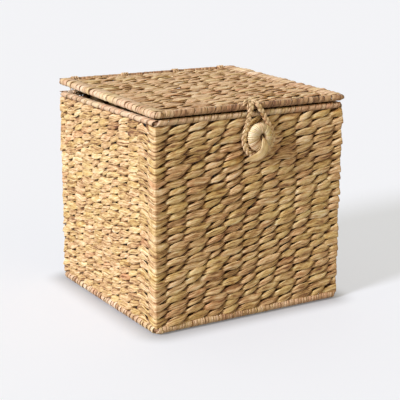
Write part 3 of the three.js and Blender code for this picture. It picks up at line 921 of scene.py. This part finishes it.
def loop_run(side):
    """The straight run from the pivot to the ring round the button, in X and Z, and the angle it meets."""
    start = np.array([ANCHOR_X + side * STRAND_OFFSET, PIVOT_Z])
    to_start = start - LOOP_MIDDLE
    far = np.linalg.norm(to_start)
    angle = math.atan2(to_start[1], to_start[0]) - side * math.acos(LOOP_REACH / far)
    end = LOOP_MIDDLE + LOOP_REACH * np.array([math.cos(angle), math.sin(angle)])
    share = (np.arange(12) / 12) ** 2
    return start + share[:, None] * (end - start), angle


def loop_stub(side):
    """The end of the loop from inside the lid, over its front rail, to the pivot."""
    angle = np.radians(np.linspace(168, 49, 10))
    x = np.full(10, ANCHOR_X + side * STRAND_OFFSET)
    y = LID_FRONT_Y - RAIL_REACH * np.cos(angle)
    z = LID_FRONT_Z + RAIL_REACH * np.sin(angle)
    return np.stack([x, y, z], axis=-1)


def loop_route():
    left, left_angle = loop_run(-1)
    right, right_angle = loop_run(1)
    sweep = (right_angle - left_angle) % (2 * math.pi)
    angles = left_angle + sweep * np.linspace(0, 1, 40)
    ring = LOOP_MIDDLE + LOOP_REACH * np.stack([np.cos(angles), np.sin(angles)], axis=-1)
    flat = np.concatenate([left, ring, right[::-1]])
    hanging = np.stack([flat[:, 0], hang_y(flat[:, 1]), flat[:, 1]], axis=-1)
    return np.concatenate([loop_stub(-1), hanging, loop_stub(1)[::-1]])


def plait():
    """Three strands that cross along the loop's route, blended from the lid to the loop at the pivot."""
    route, _ = resampled(loop_route(), 400)
    route, at = resampled(smoothed(route, 6), 190)
    rail_centre = np.array([0.0, LID_FRONT_Y, LID_FRONT_Z])
    radial = unit((route - rail_centre) * np.array([0, 1, 1]))
    over = np.clip((route[:, 2] - LID_FRONT_Z) / 4, 0, 1)[:, None]
    side, out = ways(route, unit(radial * over + FRONT * (1 - over)))
    period = 24.0
    bundles = []
    for i in range(3):
        t = 2 * math.pi * (at / period + i / 3)
        swing = np.sign(np.sin(t)) * np.abs(np.sin(t)) ** 0.75
        centre = route + side * (2.2 * swing)[:, None] + out * (0.9 * np.sin(2 * t))[:, None]
        across, flat = ways(centre, out)
        n = len(centre)
        shade = 0.66 + 0.08 * smooth_noise(1, n, 1, 20)[..., 0]
        hue = np.full((1, n), 0.35 + 0.12 * i)
        # Painted shade where a strand dips under the others, and along its edges
        painted_light = np.clip(0.62 + 0.5 * np.sin(2 * t)[None], 0, 1)
        tone = np.stack([shade, hue, painted_light], axis=-1)
        width = 4.7 * (1 + 0.06 * smooth_noise(1, n, 1, 30)[..., 0])
        lines = (centre[None], across[None], flat[None])
        bundles.append(strands(*lines, width, 1.8, tone, FLAT, 0.1, edge=0.5))
    made = piece("plaited_loop", bundles, cord_leaf, None, ["closure_loop", "loop_anchor"])
    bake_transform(made)


def loop_knot():
    """The small bight of the loop's lashing that stands up on the lid's edge, and its two bands."""
    y = LID_FRONT_Y - 5.4
    route = [
        [-18.5, y + 4.0, 322.0],
        [-18.6, y + 0.5, 326.0],
        [-17.8, y, 330.0],
        [-15.6, y + 1.0, 332.8],
        [-12.6, y + 1.0, 331.8],
        [-11.0, y, 328.4],
        [-9.6, y - 0.6, 324.6],
        [-8.6, y + 2.0, 321.0],
    ]
    route, _ = resampled(np.array(route), 40)
    bundles = cord_bundle(smoothed(route, 6), 3.4, 2.0, 0.56, 0.5, period=11.0)
    over = np.radians(np.linspace(150, -40, 16))
    for x in (-12.5, 8.0):
        way = np.stack([0 * over, -np.cos(over), np.sin(over)], axis=-1)
        band = np.array([x, LID_FRONT_Y, LID_FRONT_Z]) + 5.9 * way
        bundles += cord_bundle(band, 3.0, 1.6, 0.5, 0.45, period=12.0)
    piece("loop_knot", bundles, cord_leaf, "lid")


plait()
loop_knot()


# Lashings


def hinge_ties():
    """Four lashings, each wound three times round the rim rail and the lid's back rail."""
    low = np.array([WALL_Y, RIM_RAIL_Z])
    high = np.array([LID_Y, SEEN_BACK_Z])
    low_reach, high_reach = RIM_RAIL + 1.2, LID_RAIL + 0.7
    rise = high - low
    lean = math.atan2(rise[1], rise[0])
    spread = math.acos((low_reach - high_reach) / np.linalg.norm(rise))
    low_angles = lean + spread + np.linspace(0, 1, 12) * 2 * (math.pi - spread)
    high_angles = lean - spread + np.linspace(0, 1, 12) * 2 * spread
    arcs = ((low, low_reach, low_angles), (high, high_reach, high_angles))
    turn = [middle + reach * np.stack([np.cos(a), np.sin(a)], axis=-1) for middle, reach, a in arcs]
    turn = np.concatenate(turn)
    turns = 3
    spacing = 4.0
    for i, x in enumerate(TIE_PLACES):
        loop = np.concatenate([turn] * turns + [turn[:1]])
        across = x + (np.linspace(0, 1, len(loop)) - 0.5) * turns * spacing
        route, _ = resampled(np.column_stack([across, loop]), 46 * turns)
        bundles = cord_bundle(route, 2.5, 1.3, 0.5, 0.45)
        piece(f"lid_lashing_{i + 1}", bundles, cord_leaf, "box", [f"hinge_tie_{i + 1}"])


hinge_ties()


# Button: leaf wound through its hole round a core, and a tail that comes down over its face

BUTTON_RADIUS = 21.0
BUTTON_MIDDLE = BUTTON + np.array([0.0, 0.0, 2.0])
HOLE_RADIUS = 2.5
BUTTON_HALF = 6.2


def around_button(radius, depth, angle):
    """Points on the button, which is a little narrower than tall, with its hole off the middle."""
    inner = np.clip((BUTTON_RADIUS - radius) / (BUTTON_RADIUS - HOLE_RADIUS), 0, 1)
    across, rise = 0.95 * radius * np.cos(angle), radius * np.sin(angle)
    return BUTTON_MIDDLE + np.stack([across + 2.6 * inner, depth, rise + 1.2 * inner], axis=-1)


def button():
    turns = 44
    n = turns * TURN_RINGS + 1
    beta = np.linspace(0, 2 * math.pi * turns, n)
    angle = beta / turns + 0.35 * smooth_noise(1, n, 1, 12)[0, :, 0] / turns * 4
    middle = (BUTTON_RADIUS + HOLE_RADIUS) / 2
    half = (BUTTON_RADIUS - HOLE_RADIUS) / 2 - 0.4
    bulge = 0.3 * smooth_noise(1, n, 1, turns * 2)[0, :, 0]
    swing = np.sign(np.cos(beta)) * np.abs(np.cos(beta)) ** 0.85
    radius = middle + (half + bulge) * swing
    depth = (BUTTON_HALF - 0.6 + bulge) * np.sign(np.sin(beta)) * np.abs(np.sin(beta)) ** 0.85
    centre = around_button(radius, depth, angle)
    radial = np.stack([np.cos(angle), 0 * angle, np.sin(angle)], axis=-1)
    away = radial * (swing / half)[:, None] + BACK * (depth / BUTTON_HALF**2)[:, None] * 1.2
    across, out = rolled(*ways(centre, away), math.radians(13))
    width = 2 * math.pi * np.maximum(radius, 2.2) / turns * 1.10
    thick = np.clip(width * 0.42, 0.5, 1.5)
    each = np.floor(beta / (2 * math.pi)).astype(int)
    shades = rng.normal(0, 0.05, turns + 1) + run_values(turns + 1, 3, 7, 0.84, 0.05)
    hues = run_values(turns + 1, 3, 9, 0.5, 0.10)
    # Painted shade towards the hole, where the leaf goes in, and along the strips' edges
    inward = np.clip((radius - HOLE_RADIUS) / 6, 0.12, 1)
    left = np.clip(-np.cos(angle - 0.35), 0, 1) ** 3 * np.clip(1 - np.abs(radius - 8) / 7, 0, 1)
    right = np.clip(np.cos(angle), 0, 1) * np.clip((radius - 5) / 8, 0, 1)
    shade = shades[each] - 0.28 * left
    hue = np.clip(hues[each] - 0.1 * left + 0.25 * right, 0, 1)
    tone = np.stack([shade, hue, inward], axis=-1)[None]
    size = (width[None], thick[None])
    bundles = [strands(centre[None], across[None], out[None], *size, tone, STRIP, 0.08, edge=0.35)]

    ring = np.linspace(0, 2 * math.pi, 25)
    way = np.stack([-np.sin(ring), 0 * ring, np.cos(ring)], axis=-1)
    facing = np.broadcast_to(FRONT, way.shape)
    across = np.cross(facing, way)
    # The hidden core ring: painted light 0.4, painted shade
    plain = np.broadcast_to(np.array([0.4, 0.4, 0.4]), (1, len(ring), 3))
    core_ring = around_button(middle, 0 * ring, ring)
    size = (2 * half - CORE_INSET, 2 * BUTTON_HALF - CORE_INSET - 1)
    bundles.append(strands(core_ring[None], across[None], facing[None], *size, plain))
    piece("wound_button", bundles, cord_leaf, "box", ["button"])


button()


TAIL = [
    [7.6, -168.0, 278.4],
    [8.0, -172.8, 275.0],
    [8.6, -174.6, 269.0],
    [8.6, -175.2, 262.0],
    [6.6, -174.6, 255.8],
    [2.4, -172.2, 251.0],
    [-4.0, -169.6, 248.0],
    [-12.0, -168.4, 246.2],
    [-20.0, -167.4, 245.4],
]
STEM = [
    [7.5, -170.6, 278.4],
    [6.0, -160.0, 276.0],
    [5.0, -148.0, 275.0],
    [5.0, -144.0, 277.0],
    [7.5, -142.6, 277.5],
    [8.5, -142.6, 274.0],
    [5.0, -143.4, 271.5],
    [1.5, -142.6, 274.0],
    [2.5, -142.6, 278.0],
    [6.0, -141.4, 277.0],
]
TAIL_PLACES = [0, 0.1, 0.22, 0.38, 0.52, 0.7, 0.87, 1]
TAIL_WIDTHS = [2.5, 5.5, 10.5, 15.0, 15.5, 11.5, 7.0, 1.4]


def button_tail():
    """A wide strip of leaf out of the hole, down the button's face and away below its left edge, and the
    cord that ties the button through the wall and is knotted inside."""
    rings = 34
    centre, _ = resampled(np.array(TAIL), 60)
    centre, _ = resampled(smoothed(centre, 8), rings)
    across, out = ways(centre, FRONT)
    share = np.linspace(0, 1, rings)
    width = np.interp(share, TAIL_PLACES, TAIL_WIDTHS)
    shade = np.interp(share, [0, 0.3, 0.7, 1], [0.55, 0.7, 0.6, 0.5])
    # Painted shade where the tail comes out of the hole, lifting to full painted light a little way down
    tone = np.stack([shade, 0.72 + 0 * share, np.clip(0.3 + share * 5, 0, 1)], axis=-1)
    size = (width[None], 1.1)
    bundles = [strands(centre[None], across[None], out[None], *size, tone[None], FLAT, 0.12)]
    route, _ = resampled(np.array(STEM), 60)
    bundles += cord_bundle(route, 3.4, 1.8, 0.5, 0.45, hint=(0.3, 0.2, 1.0))
    piece("button_tie_and_tail", bundles, cord_leaf, "box", ["button_tie"])


button_tail()


# Floor, world and lamps


def add_floor():
    """A matt floor that glows a little where it is seen, with a painted contact shadow: less glow near the
    box.
    """
    n = Nodes(bpy.data.materials.new("floor"))
    matt = n.add("BsdfDiffuse", {"Color": (0.43, 0.43, 0.43, 1)}).outputs[0]
    place = n.add("SeparateXYZ", {0: n.add("TexCoord").outputs["Object"]}).outputs
    # Painted contact shadow: the glow falls off towards the box's footprint
    halves = (0.150, 0.145)
    beside = [n.math("SUBTRACT", n.math("ABSOLUTE", place[i]), halves[i]) for i in range(2)]
    beside = [n.math("POWER", n.math("MAXIMUM", away, 0.0), 2.0) for away in beside]
    away = n.math("SQRT", n.math("ADD", *beside))
    ease = {0: away, 1: 0.0, 2: 0.06, 3: 0.14, 4: 0.52}
    glow_with_painted_shadow = n.add("MapRange", ease, interpolation_type="SMOOTHERSTEP").outputs[0]
    glow = {"Color": (0.96, 0.99, 1.06, 1), "Strength": n.math("MULTIPLY", n.seen(), glow_with_painted_shadow)}
    glow = n.add("Emission", glow).outputs[0]
    material = n.finish(n.add("AddShader", {0: matt, 1: glow}).outputs[0])
    mesh = bpy.data.meshes.new("floor")
    size = 14.0
    corners = [(-size, -size, 0), (size, -size, 0), (size, size, 0), (-size, size, 0)]
    mesh.from_pydata(corners, [], [(0, 1, 2, 3)])
    mesh.materials.append(material)
    floor = bpy.data.objects.new("floor", mesh)
    floor.location.z = -0.0004
    bpy.context.scene.collection.objects.link(floor)


def add_world():
    """White where it is seen, and a dim warm light for everything else."""
    n = Nodes(bpy.data.worlds.new("world"))
    warm = n.add("Background", {0: (1.0, 0.90, 0.60, 1), 1: 0.33}).outputs[0]
    white = n.add("Background", {0: (0.93, 0.93, 0.94, 1), 1: 1.0}).outputs[0]
    mixed = n.add("MixShader", {0: n.seen(), 1: warm, 2: white}).outputs[0]
    bpy.context.scene.world = n.finish(mixed, "OutputWorld")


def add_sun(name, towards, strength, spread, colour):
    data = bpy.data.lights.new(name, "SUN")
    data.energy = strength
    data.angle = math.radians(spread)
    data.color = colour
    lamp = bpy.data.objects.new(name, data)
    lamp.rotation_mode = "QUATERNION"
    lamp.rotation_quaternion = (-Vector(towards)).to_track_quat("-Z", "Y")
    bpy.context.scene.collection.objects.link(lamp)


add_floor()
add_world()
add_sun("key", (-0.89, -0.16, 0.42), 3.72, 14, (0.96, 0.98, 1.13))
add_sun("top", (0.05, 0.55, 0.83), 0.36, 60, (0.98, 0.99, 1.04))
add_sun("fill", (0.35, -0.90, 0.25), 0.36, 50, (1.0, 0.66, 0.26))

view = bpy.context.scene.view_settings
view.view_transform = "Standard"
